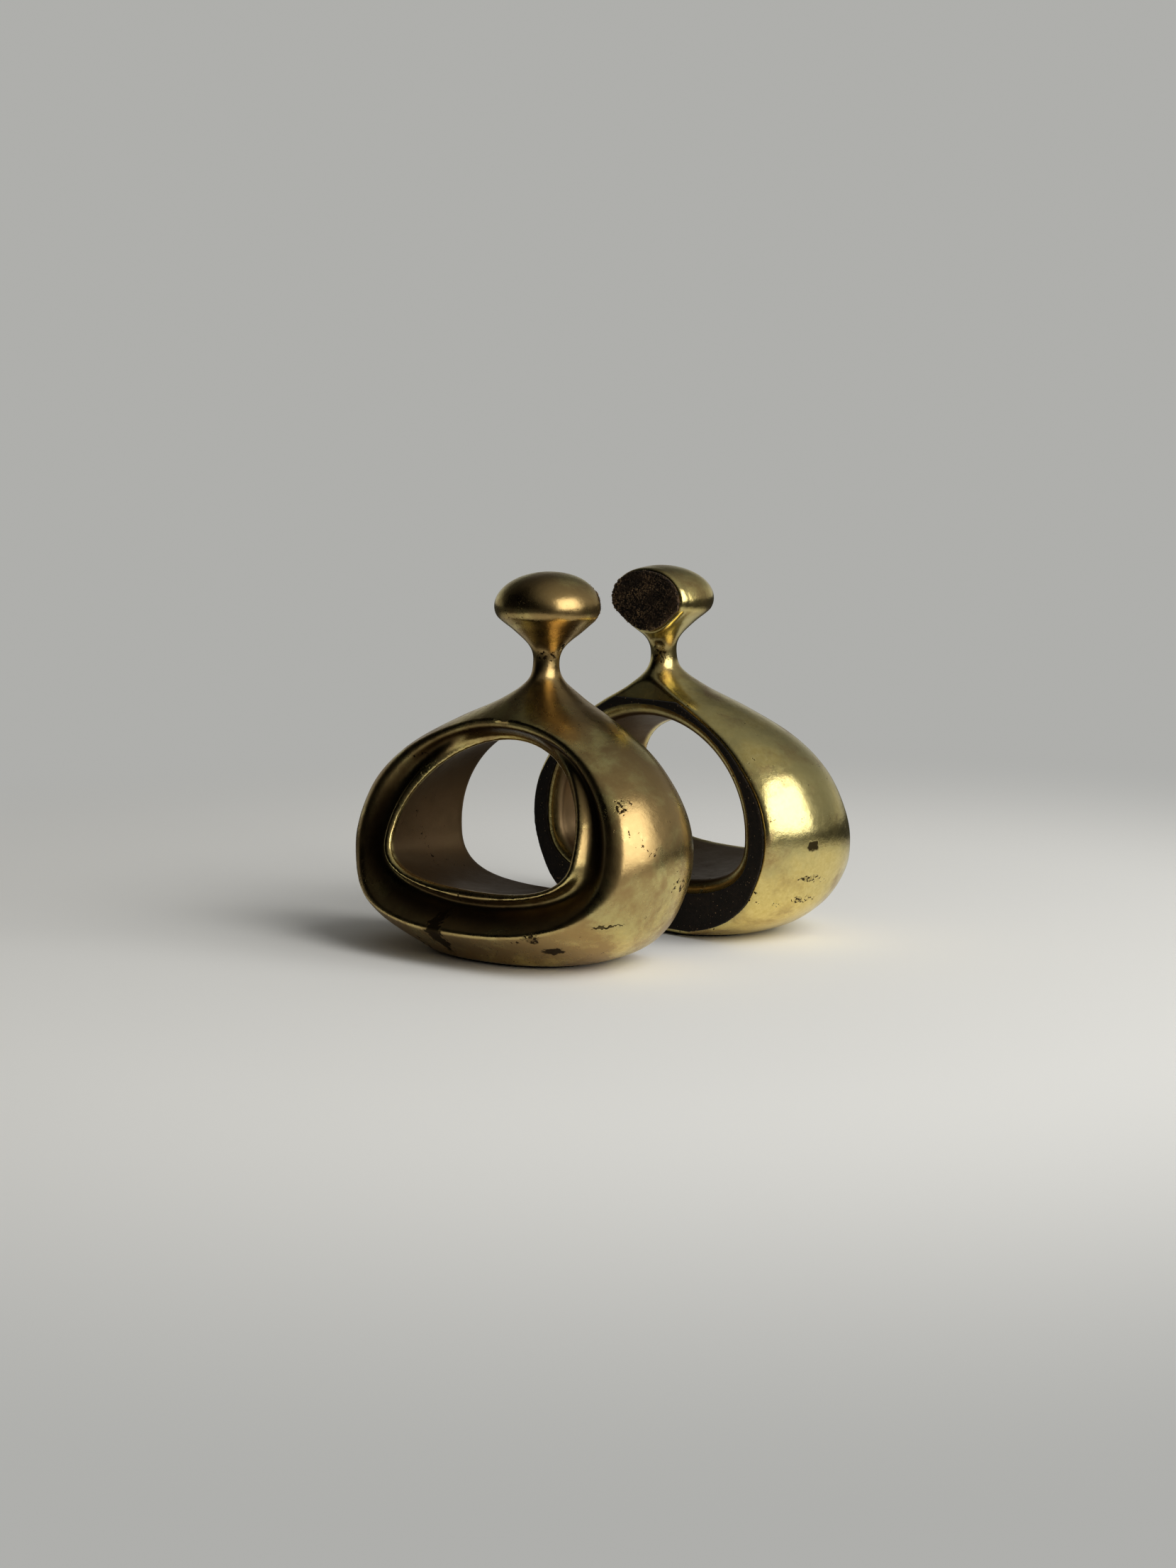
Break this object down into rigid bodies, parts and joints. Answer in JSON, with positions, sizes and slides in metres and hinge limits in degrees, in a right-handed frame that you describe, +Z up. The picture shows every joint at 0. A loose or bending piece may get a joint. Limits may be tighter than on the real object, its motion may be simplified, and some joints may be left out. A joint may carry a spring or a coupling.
{
  "type": "sculptural bookend pair",
  "caption": "Pair of cast brass-finish bookends, each an open loop with a slender neck and a flat pebble head, sliced flat at the back and felted where it rests.",
  "frame": {"origin": "middle of the pair's footprint, on the surface it stands on", "axes": "+Z up; +X from the first bookend towards the second, along the row of books; +Y across the first bookend's width"},
  "size_m": [0.1782, 0.1572, 0.149],
  "materials": {
    "aged_brass": "satin to polished plating with brown and olive patina, darker and duller inside the opening",
    "worn_felt": "rough, worn-down felt with old glue showing",
    "dark_felt": "thin, smooth, dusty felt"
  },
  "bodies": {
    "first_bookend": {"bookend_a_casting": "aged_brass", "bookend_a_head_pad": "worn_felt", "bookend_a_back_pad": "dark_felt", "bookend_a_base_pad": "dark_felt"},
    "second_bookend": {"bookend_b_casting": "aged_brass", "bookend_b_head_pad": "worn_felt", "bookend_b_back_pad": "dark_felt", "bookend_b_base_pad": "dark_felt"}
  },
  "joints": [
    {"name": "second_bookend_slide", "type": "slide", "parent": "first_bookend", "child": "second_bookend", "axis": [1, 0, 0], "range_m": [-0.034, 0.3]}
  ]
}
